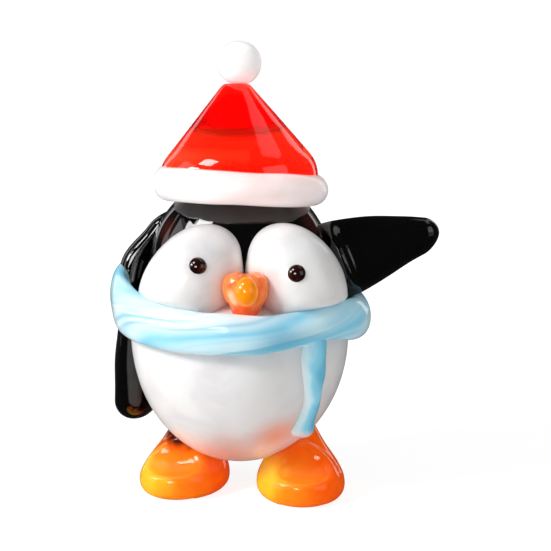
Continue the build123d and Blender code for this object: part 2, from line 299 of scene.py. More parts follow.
# height, reach, width, thickness
HANGING_SHARES = (
    (1.0, 0.66, 0.42, 0.6),
    (0.92, 0.745, 0.56, 0.8),
    (0.77, 0.925, 0.84, 1.0),
    (0.6, 0.945, 0.93, 0.95),
    (0.3, 0.985, 1.0, 1.0),
    (0.12, 1.0, 0.99, 1.0),
    (0.0, 0.99, 0.95, 0.98),
)
# reach, bottom edge, top edge, thickness
RAISED_SHARES = (
    (0.0, 0.02, 0.915, 1.0),
    (0.15, 0.07, 0.965, 1.0),
    (0.38, 0.22, 0.998, 0.96),
    (0.6, 0.4, 1.0, 0.86),
    (0.8, 0.56, 1.0, 0.75),
    (1.0, 0.695, 0.985, 0.62),
)
# height, width, length, place towards the back
FOOT_SHARES = (
    (0.0, 0.84, 0.84, 0.0),
    (0.04, 0.92, 0.925, 0.0),
    (0.11, 0.985, 0.985, 0.0),
    (0.22, 1.0, 1.0, 0.0),
    (0.34, 0.96, 0.92, 0.035),
    (0.5, 0.83, 0.72, 0.12),
    (0.74, 0.58, 0.48, 0.22),
    (1.0, 0.36, 0.34, 0.3),
)
# height, half width
BEAK_SHARES = (
    (-1.0, 0.6),
    (-0.75, 0.62),
    (-0.5, 0.71),
    (-0.2, 0.91),
    (0.15, 1.0),
    (0.5, 0.99),
    (0.8, 0.87),
    (1.0, 0.62),
)
# turns of the face's gobs about X, Y and Z, in degrees
LEFT_TURNS = (4.95, 32.38, -16.61)
RIGHT_TURNS = (3.25, -27.29, 15.76)
# side and height of the air bubbles in the cone, in millimetres, and their place to the front
BUBBLES = ((-1.5, 8.8), (-0.3, 10.6), (1.9, 7.6))
BUBBLE_BACK = -2.6

# Spots of another tint: place and radius in millimetres, strength, and a tint where it isn't the same for all
# The belly's glows are painted pink light that the orange feet throw on the white belly.
BELLY_PAINTED_GLOWS = (((4.4, -9, 7), 4.4, 1.0), ((-1, -7, 4.6), 6, 0.75), ((8.5, -8, 8.2), 5, 0.35))
# Painted red-brown light showing through the black head at these places.
HEAD_PAINTED_SHOW_THROUGH = (((-9.7, -5, 26.8), 2.6, 0.9), ((-8.3, -3, 30), 2.2, 0.6), ((8.5, -2.5, 31), 2.6, 0.8))
SCARF_PATCHES = (
    ((4.6, -13, 18.4), 4.6, 0.85, "teal"),
    # Painted shade: blue over the pale streaks on the shaded right side.
    ((11, -8, 20), 4.4, 0.4, "blue"),
    # Painted light: pale on the bulged right end, which the lamps leave in shade.
    ((14, -3, 21), 3.6, 0.6, "pale"),
)
# measured from the centre of the beak's base
BEAK_SPOTS = (
    ((-1.8, -1.9, 1.25), 0.85, 0.85, "red"),
    ((1.9, -1.9, 1.0), 0.8, 0.85, "red"),
    # The two pale spots are painted highlights on the left of the base.
    ((-1.6, -1.9, 0.1), 0.9, 0.85, "pale"),
    ((-1.3, -1.9, -0.6), 0.8, 0.85, "pale"),
)
# The scarf's lengthwise streaks: phase in its twist, sharpness, strength, tint
SCARF_STREAKS = ((1.75, -0.2, 1.0, "white"), (-0.85, 0.5, 0.9, "pale"), (3.4, 0.6, 0.7, "pale"))
# The middle of the scarf's band is at mean + front * cos(turn) + side * sin(turn), in shares of its slant
BAND_MEAN, BAND_FRONT, BAND_SIDE = 0.39, -0.36, -0.3

# The lights: name, place and aimed height in millimetres, sizes in metres, power in watts, whether they
# light the glass, and whether they show in its reflections
LIGHTS = (
    ("key", (-300, -180, 240), 22, (0.12, 0.1), 1.45, True, False),
    ("fill_right", (260, -40, 330), 36, (0.2, 0.2), 0.25, True, False),
    ("front", (-130, -395, 115), 22, (0.16, 0.12), 0.85, False, True),
    ("spark_low", (-350, -94, 190), 22, (0.12, 0.1), 0.75, False, True),
    ("rim_left", (-165, 240, 110), 22, (0.05, 0.34), 0.06, True, True),
    ("rim_right", (165, 240, 110), 22, (0.06, 0.34), 0.07, True, True),
    ("spark", (-243, -120, 335), 22, (0.14, 0.12), 0.79, False, True),
    ("card_left", (-330, 10, 110), 22, (0.16, 0.3), 0.2, False, True),
    ("card_right", (310, -190, 100), 22, (0.25, 0.3), 0.28, False, True),
    ("card_above", (150, 60, 330), 22, (0.2, 0.12), 0.06, False, True),
)


# Mesh helpers. Points are measured from HOME, which skin() adds.


def smooth_step(value):
    """0 up to 0 and 1 from 1 on, with a smooth rise between."""
    value = max(0.0, min(1.0, value))
    return value * value * (3 - 2 * value)


def between(stations, position, closed=False):
    """Catmull-Rom value between listed stations; position runs from 0 to the last station."""
    count = len(stations)
    first = int(position) if closed else min(int(position), count - 2)
    part = position - first

    def station(index):
        return stations[index % count] if closed else stations[max(0, min(count - 1, index))]

    around = [station(first + step) for step in (-1, 0, 1, 2)]
    values = []
    for before, here, after, beyond in zip(*around):
        bend = 2 * before - 5 * here + 4 * after - beyond
        twist = -before + 3 * here - 3 * after + beyond
        values.append(here + 0.5 * part * ((after - before) + part * (bend + part * twist)))
    return values


def shares_at(stations, part):
    """Values at a part, from 0 to 1, of the way through the stations."""
    return between(stations, part * (len(stations) - 1))


def scarf_shares(turn):
    """Height, half width and reach of the scarf's band at a turn round the neck from the front."""
    return between(SCARF_SHARES, turn / (2 * pi) * len(SCARF_SHARES), closed=True)


def add_object(name, data):
    """A new object in the scene."""
    made = bpy.data.objects.new(name, data)
    bpy.context.scene.collection.objects.link(made)
    return made


def add_mesh(name, points, faces):
    """A new object in the scene with a mesh of its own."""
    mesh = bpy.data.meshes.new(name)
    mesh.from_pydata(points, [], faces)
    mesh.update()
    return add_object(name, mesh)


def skin(name, rings, closed=False):
    """A smooth mesh through rings of points. Open ends are shut by a point in their middle."""
    around = len(rings[0])
    points = [HOME + point for ring in rings for point in ring]
    faces = []
    spans = len(rings) if closed else len(rings) - 1
    for span in range(spans):
        here = span * around
        there = ((span + 1) % len(rings)) * around
        for step in range(around):
            after = (step + 1) % around
            faces.append((here + step, here + after, there + after, there + step))
    if not closed:
        for start, flip in ((0, True), ((len(rings) - 1) * around, False)):
            middle = len(points)
            ring = points[start:start + around]
            points.append(sum(ring, Vector()) / around)
            for step in range(around):
                after = (step + 1) % around
                rim = (start + step, start + after)
                faces.append((rim[1], rim[0], middle) if flip else (rim[0], rim[1], middle))
    made = add_mesh(name, points, faces)
    made.data.shade_smooth()
    return made


def ellipse_ring(centre, along_u, along_v, half_u, half_v, around):
    """Points round an ellipse, from the end of its first half axis."""
    turns = [2 * pi * step / around for step in range(around)]
    return [centre + along_u * (half_u * cos(turn)) + along_v * (half_v * sin(turn)) for turn in turns]


def level_ring(centre, half_side, half_back, around):
    """An ellipse that lies level."""
    return ellipse_ring(centre, RIGHT, BACK, half_side, half_back, around)


def gob_rings(half, rings, around):
    """Rings of an ellipsoid about the origin, from its lower to its upper pole."""
    made = []
    for index in range(rings):
        tilt = pi * (index + 0.5) / rings
        level = Vector((0, 0, -half[2] * cos(tilt)))
        made.append(level_ring(level, half[0] * sin(tilt), half[1] * sin(tilt), around))
    return made


def reshape(rings, change):
    """The rings with a change made to each point."""
    return [[change(point) for point in ring] for ring in rings]


def add_ball(name, centre, radius, rings, around):
    """A sphere about a centre."""
    return skin(name, reshape(gob_rings((radius,) * 3, rings, around), lambda point: centre + point))


def end_swell(part, first_end, last_end):
    """Size factor that rounds off both ends of a skin; part runs from 0 to 1."""
    part = max(0.0, min(1.0, part))
    swell = 1.0
    if part < first_end:
        swell = sqrt(max(0.0, 1 - (1 - part / first_end) ** 2))
    if 1 - part < last_end:
        swell = min(swell, sqrt(max(0.0, 1 - (1 - (1 - part) / last_end) ** 2)))
    return max(swell, 0.02)


def spaced(count):
    """Parts from 0 to 1 that lie closer together at both ends."""
    return [0.5 - 0.5 * cos(pi * index / (count - 1)) for index in range(count)]


def dent(made, depth, size, seed):
    """Gives a skin the soft unevenness of glass shaped by hand. The seed sets it apart from the others."""
    mesh = made.data
    normals = [vertex.normal.copy() for vertex in mesh.vertices]
    offset = Vector((seed * 7.3, seed * 3.1, seed * 5.7))
    for vertex, normal in zip(mesh.vertices, normals):
        vertex.co += normal * (depth * noise.noise(vertex.co / size + offset))
    mesh.update()


def lathe(name, profile, plane, around=180, narrowest=0.01 * MM):
    """A solid turned from a profile of (radius, height) about a plane's axis."""
    rings = []
    for radius, height in profile:
        half = max(radius, narrowest)
        rings.append([plane @ point for point in level_ring(Vector((0, 0, height)), half, half, around)])
    return skin(name, rings)


def rounded(corners, steps=8):
    """A profile with its corners rounded. Each corner is (radius, height, rounding)."""
    points = []
    for index, (radius, height, rounding) in enumerate(corners):
        corner = Vector((radius, height))
        if rounding <= 0 or index in (0, len(corners) - 1):
            points.append(corner)
            continue
        before = Vector(corners[index - 1][:2]) - corner
        after = Vector(corners[index + 1][:2]) - corner
        start = corner + before.normalized() * rounding
        end = corner + after.normalized() * rounding
        for step in range(steps + 1):
            part = step / steps
            points.append(start * (1 - part) ** 2 + corner * (2 * part * (1 - part)) + end * part ** 2)
    return points


def densify(points, gap):
    """The profile with points added on its long straight stretches."""
    dense = [points[0]]
    for point in points[1:]:
        start = dense[-1]
        cuts = max(1, int((point - start).length / gap))
        dense.extend(start.lerp(point, cut / cuts) for cut in range(1, cuts + 1))
    return dense


def add_bubble(made, centre, radius):
    """A round hollow inside a clear solid, with its faces turned towards the air."""
    shape = bmesh.new()
    shape.from_mesh(made.data)
    ball = bmesh.ops.create_icosphere(shape, subdivisions=3, radius=radius, matrix=Matrix.Translation(centre))
    faces = list({face for vertex in ball["verts"] for face in vertex.link_faces})
    bmesh.ops.reverse_faces(shape, faces=faces)
    for face in faces:
        face.smooth = True
    shape.to_mesh(made.data)
    shape.free()


def settle(made, nodes, material):
    """Dresses a piece, and seats it on the CAD body in the place of its nodes."""
    made.data.materials.append(material)
    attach(made, "root")
    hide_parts(*nodes)


# Node helpers


def new_material(name):
    """A material and its empty node tree."""
    material = bpy.data.materials.new(name)
    material.use_nodes = True
    material.node_tree.nodes.clear()
    return material, material.node_tree


def feed(tree, socket, value):
    """Links a socket to another node's output, or gives it a value of its own."""
    if isinstance(value, bpy.types.NodeSocket):
        tree.links.new(value, socket)
    else:
        socket.default_value = value


def add_node(tree, kind, **sockets):
    """A node with its sockets fed by name, with _ for each space."""
    made = tree.nodes.new(kind)
    for key, value in sockets.items():
        feed(tree, made.inputs[key.replace("_", " ")], value)
    return made


def maths(tree, operation, first, second=0.0, third=0.0, clamp=False):
    """The result of a Math node."""
    made = tree.nodes.new("ShaderNodeMath")
    made.operation = operation
    made.use_clamp = clamp
    for socket, value in zip(made.inputs, (first, second, third)):
        feed(tree, socket, value)
    return made.outputs[0]


def vector_maths(tree, operation, first, second=(0, 0, 0)):
    """The outputs of a Vector Math node."""
    made = tree.nodes.new("ShaderNodeVectorMath")
    made.operation = operation
    feed(tree, made.inputs[0], first)
    feed(tree, made.inputs[1], second)
    return made.outputs


def mixed(tree, factor, first, second):
    """The first colour at factor 0 and the second at 1. In colours, a Mix node has sockets 6 and 7."""
    made = tree.nodes.new("ShaderNodeMix")
    made.data_type = "RGBA"
    feed(tree, made.inputs[0], factor)
    for index, tint in ((6, first), (7, second)):
        feed(tree, made.inputs[index], tint if isinstance(tint, bpy.types.NodeSocket) else (*tint[:3], 1))
    return made.outputs[2]


def tinted(tree, base, near, strength, tint):
    """The base colour taken towards a tint where near is 1."""
    return mixed(tree, maths(tree, "MULTIPLY", near, strength), base, tint)


def ramp(tree, factor, *stops):
    """A smooth run of colours. Each stop is (position, tint)."""
    made = tree.nodes.new("ShaderNodeValToRGB")
    made.color_ramp.interpolation = "EASE"
    elements = made.color_ramp.elements
    while len(elements) < len(stops):
        elements.new(0.5)
    for element, (position, tint) in zip(elements, stops):
        element.position = position
        element.color = (*tint[:3], 1)
    tree.links.new(factor, made.inputs[0])
    return made.outputs[0]


def eased(tree, value, low, high):
    """0 at low and 1 at high, with a smooth rise."""
    made = add_node(tree, "ShaderNodeMapRange", From_Min=low, From_Max=high)
    made.interpolation_type = "SMOOTHSTEP"
    tree.links.new(value, made.inputs[0])
    return made.outputs[0]


def object_space(tree):
    """A point's place in the object's own space, which is the frame."""
    return tree.nodes.new("ShaderNodeTexCoord").outputs["Object"]


def from_home(tree):
    """Side, back and height of a point, from the foot of the body's axis."""
    centred = vector_maths(tree, "SUBTRACT", object_space(tree), HOME)
    return add_node(tree, "ShaderNodeSeparateXYZ", Vector=centred["Vector"]).outputs


def height_of(tree, where):
    """Height of a point."""
    return add_node(tree, "ShaderNodeSeparateXYZ", Vector=where).outputs["Z"]


def spotted(tree, where, base, spots, tint):
    """The base colour with spots of a tint. Each spot is (centre, radius, strength), in metres."""
    for centre, radius, strength in spots:
        gap = vector_maths(tree, "DISTANCE", where, HOME + centre)["Value"]
        base = tinted(tree, base, eased(tree, gap, radius, 0), strength, tint)
    return base


def in_metres(spots):
    """Spots that were given in millimetres."""
    return [(mm(*centre), radius * MM, strength) for centre, radius, strength in spots]


def patched(tree, where, base, patches, origin, settings):
    """The base colour with patches of tints that the settings hold, measured from an origin."""
    for centre, radius, strength, tint in patches:
        spots = ((origin + mm(*centre), radius * MM, strength),)
        base = spotted(tree, where, base, spots, getattr(settings, tint))
    return base


def cloud(tree, where, scale, detail, distortion=0.0, stretch=None):
    """Noise over the object; scale is in cells per metre."""
    source = where
    if stretch:
        source = add_node(tree, "ShaderNodeMapping", Vector=where, Scale=stretch).outputs[0]
    made = add_node(
        tree, "ShaderNodeTexNoise", Vector=source, Scale=scale, Detail=detail, Distortion=distortion
    )
    return made.outputs["Fac"]


def drifted(tree, value, reach, noise_value, middle=0.5):
    """A value that noise moves up and down by about half its reach."""
    return maths(tree, "MULTIPLY_ADD", maths(tree, "SUBTRACT", noise_value, middle), reach, value)


def ripple(tree, height, depth):
    """A bump that bends reflections the way uneven glass does."""
    return add_node(tree, "ShaderNodeBump", Height=height, Strength=1.0, Distance=depth).outputs[0]


def finish_material(tree, surface, volume=None):
    """Joins a surface, and a volume where there is one, to the material's output."""
    out = tree.nodes.new("ShaderNodeOutputMaterial")
    tree.links.new(surface, out.inputs["Surface"])
    if volume:
        tree.links.new(volume, out.inputs["Volume"])


def finish_glass(tree, base, lift=None, volume=None, **sockets):
    """A glass surface of the base colour. Lift is a painted glow: emission in the base colour that stands in
    for the faint light that the glass passes on from behind.
    """
    if lift is not None:
        sockets.update(Emission_Color=base, Emission_Strength=lift)
    surface = add_node(tree, "ShaderNodeBsdfPrincipled", Base_Color=base, **sockets)
    finish_material(tree, surface.outputs[0], volume)


# Materials


def white_glass(name, settings, tints=(), depth=1.2 * MM, lift=0.0):
    """Opal white glass. Tints are (centre, radius, strength) of pink glow from orange glass, painted into its
    colour, and lift is a painted glow.
    """
    material, tree = new_material(name)
    where = object_space(tree)
    milk = eased(tree, cloud(tree, where, scale=190, detail=4, distortion=0.8), 0.35, 0.75)
    base = mixed(tree, milk, settings.white, settings.milk)
    waves = cloud(tree, where, scale=130, detail=2)
    finish_glass(
        tree, spotted(tree, where, base, tints, settings.glow), lift,
        Roughness=0.22, IOR=1.5, Normal=ripple(tree, waves, 0.35 * MM),
        Subsurface_Weight=0.6, Subsurface_Radius=(1.0, 0.8, 0.72), Subsurface_Scale=depth,
    )
    return material


def black_glass(name, settings, thin=(), stretch=(1, 1, 0.22)):
    """Black glass with red-brown veins. Thin places are (centre, radius, strength) of red-brown painted as
    light showing through the glass.
    """
    material, tree = new_material(name)
    where = object_space(tree)
    veins = eased(tree, cloud(tree, where, scale=260, detail=3, distortion=1.0), 0.62, 1.0)
    base = mixed(tree, veins, settings.black, settings.ember)
    folds = cloud(tree, where, scale=330, detail=0, distortion=0.3, stretch=stretch)
    finish_glass(
        tree, spotted(tree, where, base, thin, settings.ember),
        Roughness=0.035, IOR=1.52, Normal=ripple(tree, folds, 0.6 * MM),
        Coat_Weight=0.4, Coat_Roughness=0.02,
    )
    return material


def eye_glass(settings):
    """Dark glass of the beads, with browner specks."""
    material, tree = new_material("eye_glass")
    specks = eased(tree, cloud(tree, object_space(tree), scale=1500, detail=2), 0.45, 0.8)
    base = mixed(tree, specks, settings.eye, settings.eye_light)
    finish_glass(tree, base, Roughness=0.03, IOR=1.52)
    return material


def finish_blue_glass(tree, base, waves):
    """The surface that the scarf's band and its hanging end share."""
    # The lift is a painted glow that stands in for light passed on from behind.
    finish_glass(
        tree, base, lift=0.09,
        Roughness=0.1, IOR=1.5, Normal=ripple(tree, waves, 0.12 * MM),
        Subsurface_Weight=0.3, Subsurface_Radius=(0.6, 0.9, 1.0), Subsurface_Scale=0.8 * MM,
    )


def scarf_glass(settings):
    """Blue glass with white streaks, twisted before it was laid round the neck."""
    material, tree = new_material("scarf_glass")
    where = object_space(tree)
    side, back, height = from_home(tree)
    turn = maths(tree, "ARCTAN2", side, maths(tree, "MULTIPLY", back, -1))
    squares = maths(tree, "MULTIPLY_ADD", side, side, maths(tree, "MULTIPLY", back, back))
    reach = settings.reach_side - settings.half_thickness
    out = maths(tree, "SUBTRACT", maths(tree, "SQRT", squares), reach)
    slope = maths(
        tree, "ADD",
        maths(tree, "MULTIPLY", maths(tree, "COSINE", turn), BAND_FRONT),
        maths(tree, "MULTIPLY", maths(tree, "SINE", turn), BAND_SIDE),
    )
    middle = maths(tree, "MULTIPLY_ADD", slope, settings.slant, settings.height + BAND_MEAN * settings.slant)
    roll = maths(tree, "ARCTAN2", maths(tree, "SUBTRACT", height, middle), out)
    turns_round_the_neck = -2.0
    bends = drifted(tree, roll, 1.4, cloud(tree, where, scale=75, detail=1, distortion=0.2))
    twist = maths(tree, "MULTIPLY_ADD", turn, turns_round_the_neck, bends)
    flow = add_node(
        tree, "ShaderNodeCombineXYZ",
        X=maths(tree, "COSINE", twist), Y=maths(tree, "SINE", twist), Z=maths(tree, "COSINE", turn),
    )
    streaks = cloud(tree, flow.outputs[0], scale=1.7, detail=1.5, distortion=0.2)
    base = mixed(tree, eased(tree, streaks, 0.4, 0.8), settings.blue, settings.teal)
    for phase, sharp, strength, tint in SCARF_STREAKS:
        ridge = eased(tree, maths(tree, "COSINE", maths(tree, "SUBTRACT", twist, phase)), sharp, 1.0)
        broken = maths(tree, "MULTIPLY", ridge, eased(tree, streaks, 0.95, 0.35))
        base = tinted(tree, base, broken, strength, getattr(settings, tint))
    base = patched(tree, where, base, SCARF_PATCHES, Vector(), settings)
    finish_blue_glass(tree, base, streaks)
    return material


def tail_glass(settings):
    """The hanging end: pale on its left edge, deeper on its right, milky at its drop."""
    material, tree = new_material("tail_glass")
    where = object_space(tree)
    side, _, height = from_home(tree)
    swung = eased(tree, height, settings.tail_bottom + 5.5 * MM, settings.tail_bottom + 1.5 * MM)
    middle = maths(tree, "MULTIPLY_ADD", swung, -settings.tail_swing, settings.tail_side)
    across = maths(tree, "DIVIDE", maths(tree, "SUBTRACT", side, middle), settings.tail_half_width)
    veil = cloud(tree, where, scale=430, detail=2, distortion=1.0, stretch=(1, 1, 0.22))
    from_left = maths(tree, "MULTIPLY_ADD", drifted(tree, across, 1.7, veil), 0.5, 0.5)
    base = ramp(
        tree, from_left,
        (0.0, settings.white), (0.3, settings.pale), (0.6, settings.blue), (1.0, settings.teal),
    )
    drop = eased(tree, height, settings.tail_bottom + 1.6 * MM, settings.tail_bottom + 0.3 * MM)
    finish_blue_glass(tree, tinted(tree, base, drop, 0.7, settings.pale), veil)
    return material


def foot_glass(name, settings, middle, ankle):
    """Orange glass, yellow on its left rim, red on its right, with a tint given for the top of the ankle."""
    material, tree = new_material(name)
    where = object_space(tree)
    side, _, height = from_home(tree)
    width = 2 * settings.half_width
    across = maths(tree, "DIVIDE", maths(tree, "SUBTRACT", side, middle - settings.half_width), width)
    swirl = drifted(tree, across, 0.55, cloud(tree, where, scale=130, detail=3, distortion=1.2))
    base = ramp(tree, swirl, (0.08, settings.yellow), (0.42, settings.orange), (0.88, settings.red))
    climb = drifted(tree, height, 3 * MM, cloud(tree, where, scale=260, detail=2, distortion=1.0))
    for low, high, tint in ((3.4, 6.2, settings.red), (4.6, 6.0, ankle)):
        base = mixed(tree, eased(tree, climb, low * MM, high * MM), base, tint)
    waves = cloud(tree, where, scale=160, detail=2)
    # The lift is a painted glow that stands in for light passed on from behind.
    finish_glass(
        tree, base, lift=0.23,
        Roughness=0.05, IOR=1.5, Specular_IOR_Level=0.32, Normal=ripple(tree, waves, 0.4 * MM),
        Subsurface_Weight=0.9, Subsurface_Radius=(1.0, 0.5, 0.12), Subsurface_Scale=4 * MM,
    )
    return material


def beak_glass(settings):
    """Orange glass with pale upright streaks, redder below and in a few spots, with painted highlights in
    pale spots on its left.
    """
    material, tree = new_material("beak_glass")
    where = object_space(tree)
    centre = Vector(settings.centre)
    fibres = cloud(tree, where, scale=1300, detail=3, distortion=0.5, stretch=(1, 1, 0.3))
    streaks = eased(tree, fibres, 0.35, 0.75)
    base = mixed(tree, streaks, settings.orange, settings.peach)
    low = eased(tree, height_of(tree, where), centre.z - 0.4 * MM, centre.z - 1.9 * MM)
    base = mixed(tree, low, base, settings.red)
    # The lift is a painted glow that stands in for light passed on from behind.
    finish_glass(
        tree, patched(tree, where, base, BEAK_SPOTS, centre, settings), lift=0.12,
        Roughness=0.06, IOR=1.5, Normal=ripple(tree, streaks, 0.06 * MM),
        Subsurface_Weight=0.7, Subsurface_Radius=(1.0, 0.45, 0.15), Subsurface_Scale=2 * MM,
    )
    return material


def drop_glass(settings):
    """Yellow-orange glass of the beak's drop, deeper at its lower edge."""
    material, tree = new_material("drop_glass")
    where = object_space(tree)
    level = maths(tree, "MULTIPLY_ADD", cloud(tree, where, scale=900, detail=2), MM, height_of(tree, where))
    low = eased(tree, level, settings.centre[2] + 0.7 * MM, settings.centre[2] - 1.2 * MM)
    # The lift is a painted glow that stands in for light passed on from behind.
    finish_glass(
        tree, mixed(tree, low, settings.drop, settings.drop_low), lift=0.12, Roughness=0.04, IOR=1.5,
        Subsurface_Weight=0.4, Subsurface_Radius=(1.0, 0.5, 0.1), Subsurface_Scale=MM,
    )
    return material


def red_glass(settings, plane):
    """Clear red glass, with a painted refraction on its front: pure red above a painted, sagging dark line
    and orange-red below it; specks at its foot.
    """
    material, tree = new_material("red_glass")
    where = object_space(tree)
    axis = plane.to_3x3() @ UP
    foot = (HOME + plane.to_translation()).dot(axis)
    level = maths(tree, "SUBTRACT", vector_maths(tree, "DOT_PRODUCT", where, axis)["Value"], foot)
    side, back, _ = from_home(tree)
    line_height = settings.cone_shoulder + 3.3 * MM
    sag_per_metre = -42
    wavy = drifted(tree, level, 2 * MM, cloud(tree, where, scale=90, detail=2))
    wavy = maths(tree, "MULTIPLY_ADD", maths(tree, "MULTIPLY", side, side), sag_per_metre, wavy)
    # The painted refraction shows on the cone's front only.
    front = eased(tree, back, 2 * MM, -1 * MM)
    upper = eased(tree, wavy, line_height - 0.5 * MM, line_height + 0.4 * MM)
    tint = mixed(tree, maths(tree, "MULTIPLY", upper, front), settings.low_red, settings.high_red)
    apart = maths(tree, "ABSOLUTE", maths(tree, "SUBTRACT", wavy, line_height))
    # The painted dark line of the refraction.
    line = maths(tree, "MULTIPLY", eased(tree, apart, 1.1 * MM, 0.3 * MM), front)
    tint = tinted(tree, tint, line, 0.85, settings.painted_line_red)
    grains = cloud(tree, where, scale=1400, detail=4, distortion=1.0)
    ragged = drifted(tree, settings.brim_height + 0.75 * MM, 4 * MM, grains, middle=0.56)
    specks = eased(tree, maths(tree, "SUBTRACT", level, ragged), 0.12 * MM, -0.12 * MM)
    tint = tinted(tree, tint, specks, 0.5, settings.speck_red)
    depth = add_node(
        tree, "ShaderNodeVolumeAbsorption", Color=(*settings.thin_red, 1), Density=settings.depth
    )
    waves = cloud(tree, where, scale=120, detail=2)
    finish_glass(
        tree, tint, volume=depth.outputs[0],
        Roughness=0.0, IOR=1.5, Transmission_Weight=1.0, Normal=ripple(tree, waves, 0.25 * MM),
    )
    return material


# Pieces


def gob_frame(centre, turns):
    """Placement of a gob: turned about X, then its own Y, then its own Z."""
    turned = Matrix.Translation(Vector(centre))
    for degrees, axis in zip(turns, "XYZ"):
        turned = turned @ Matrix.Rotation(radians(degrees), 4, axis)
    return turned


def hat_frame(hat, lean):
    """Placement of a part of the hat: pitched towards the face, then leant sideways."""
    seat = Matrix.Translation(Vector(hat.seat))
    return seat @ Matrix.Rotation(-hat.pitch, 4, "X") @ Matrix.Rotation(lean, 4, "Y")


def skin_point(placed, half, eye, radius, proud):
    """Centre of a bead that stands proud of a gob where the line of sight meets it."""
    into = placed.inverted()
    far_in_front = -1
    start = into @ Vector((eye[0], far_in_front, eye[2]))
    along = into.to_3x3() @ BACK
    start = Vector([start[axis] / half[axis] for axis in range(3)])
    along = Vector([along[axis] / half[axis] for axis in range(3)])
    a, b, c = along.dot(along), start.dot(along), start.dot(start) - 1
    reach = (-b - sqrt(b * b - a * c)) / a
    unit = start + along * reach
    local = Vector([unit[axis] * half[axis] for axis in range(3)])
    outward = placed.to_3x3() @ Vector([unit[axis] / half[axis] for axis in range(3)])
    return placed @ local + outward.normalized() * (proud - radius)


class PENGUIN_OT_body(bpy.types.Operator):
    """Add the white belly and the black back with the head"""

    bl_idname = "penguin.body"
    bl_label = "Body"

    def execute(self, context):
        settings = context.scene.penguin_body
        hat = context.scene.penguin_hat
        centre = Vector((0, 0, settings.height))
        half = (BODY_RADIUS, BODY_RADIUS, settings.half_height)
        egg = reshape(gob_rings(half, 110, 180), lambda point: centre + point)

        # Shares by which a half draws in under the back, the belly and the face, and lifts of its lower edge
        belly_in, belly_top_in, belly_lift = 0.035, 0.3, 0.4 * MM
        back_in, back_front_in, back_lift = 0.006, 0.04, 0.5 * MM
        top_fade = 3 * settings.seam
        behind_face = 6 * MM

        def belly_shape(point):
            """Draw the white glass in where the black back and the face cover it."""
            behind = smooth_step((point.y - settings.belly_back + settings.seam) / settings.seam)
            above = smooth_step((point.z - settings.belly_top) / top_fade)
            width = (1 - belly_in * behind) * (1 - belly_top_in * above)
            rise = belly_lift * behind * (1 - point.z / settings.height)
            return Vector((point.x * width, point.y * width, point.z + rise))

        def back_shape(point):
            """Draw the black glass in where the white belly and the face cover it."""
            before = smooth_step((settings.belly_back - point.y) / settings.seam)
            below = smooth_step((settings.belly_top - point.z) / settings.seam)
            width = (1 - back_in) * (1 - back_front_in * before * below)
            made = Vector((point.x * width, point.y * width, point.z + back_lift * before * below))
            if below < 1:
                made.y = max(made.y, -settings.face_seat - behind_face * below)
            return made

        belly = skin("belly", reshape(egg, belly_shape))
        dent(belly, depth=0.1 * MM, size=8 * MM, seed=1)
        white = white_glass("belly_glass", settings, in_metres(BELLY_PAINTED_GLOWS))
        settle(belly, ["belly"], white)

        back = skin("back", reshape(egg, back_shape))
        seat = hat_frame(hat, hat.roll)
        onto = seat.inverted()
        flat_height = 0.05 * MM

        def head_shape(point):
            """Flatten the head where the hat stands on it."""
            local = onto @ (point + Vector(settings.head_centre))
            local.z = min(local.z, flat_height)
            return seat @ local

        black = black_glass("back_glass", settings, in_metres(HEAD_PAINTED_SHOW_THROUGH))
        settle(back, ["back"], black)
        head = skin("head", reshape(gob_rings(settings.head_half, 96, 160), head_shape))
        dent(head, depth=0.12 * MM, size=6 * MM, seed=2)
        settle(head, ["back"], black)
        return {"FINISHED"}


def behind_scarf(point, scarf):
    """The point pressed in where the scarf's band lies over it."""
    height, width, reach = scarf_shares(atan2(point.x, -point.y) % (2 * pi))
    start, fade = 0.7 * MM, 1.5 * MM
    bite = 1.3 * scarf.half_thickness
    top = scarf.height + scarf.slant * height + scarf.half_width * width
    limit = (scarf.reach_front - bite) * reach
    out = sqrt(point.x ** 2 + point.y ** 2)
    covered = smooth_step((top + start - point.z) / fade)
    inward = 1 - covered * max(0.0, out - limit) / out
    return Vector((point.x * inward, point.y * inward, point.z))


class PENGUIN_OT_face(bpy.types.Operator):
    """Add the two white gobs of the face and the eyes pressed into them"""

    bl_idname = "penguin.face"
    bl_label = "Face"

    def execute(self, context):
        settings = context.scene.penguin_face
        body = context.scene.penguin_body
        scarf = context.scene.penguin_scarf
        beak = Vector(context.scene.penguin_beak.centre)
        # A painted pink glow that the beak throws on the white around it.
        glow = (beak + mm(0.4, -0.5, -0.3), 4.4 * MM, 0.7)
        white = white_glass("face_glass", body, (glow,))
        dark = eye_glass(settings)
        radius = settings.eye_radius
        parting_fade = 4 * MM
        softness = 0.25 * MM
        # side, its sign, and the seed of the dents, centre, turns and half length of its gob
        sides = (
            ("left", -1, 4, settings.left_centre, LEFT_TURNS, settings.left_half_length),
            ("right", 1, 5, settings.right_centre, RIGHT_TURNS, settings.right_half_length),
        )
        eyes = {"left": settings.left_eye, "right": settings.right_eye}
        for side, sign, seed, centre, turns, half_length in sides:
            half = (settings.half_width, settings.half_depth, half_length)
            placed = gob_frame(centre, turns)

            def parted(point):
                """Fill the gob out low on its inner side, and press it to the scarf and to the other gob."""
                if sign * point.x < 0:
                    point.x *= 1 + settings.fullness * smooth_step(-point.z / half_length)
                point = behind_scarf(placed @ point, scarf)
                gap = settings.parting * smooth_step((point.z - settings.parting_height) / parting_fade)
                away = sign * (point.x - settings.crease_side)
                soft = gap + 0.5 * (away - gap + sqrt((away - gap) ** 2 + softness ** 2))
                point.x = settings.crease_side + sign * (soft if gap > 0 else away)
                return point

            gob = skin(f"face_lobe_{side}", reshape(gob_rings(half, 110, 150), parted))
            dent(gob, depth=0.08 * MM, size=5 * MM, seed=seed)
            settle(gob, [f"face_lobe_{side}"], white)
            bead_centre = skin_point(placed, half, eyes[side], radius, settings.eye_proud)
            bead = add_ball(f"eye_{side}", bead_centre, radius, 40, 56)
            settle(bead, [f"eye_{side}"], dark)
        return {"FINISHED"}


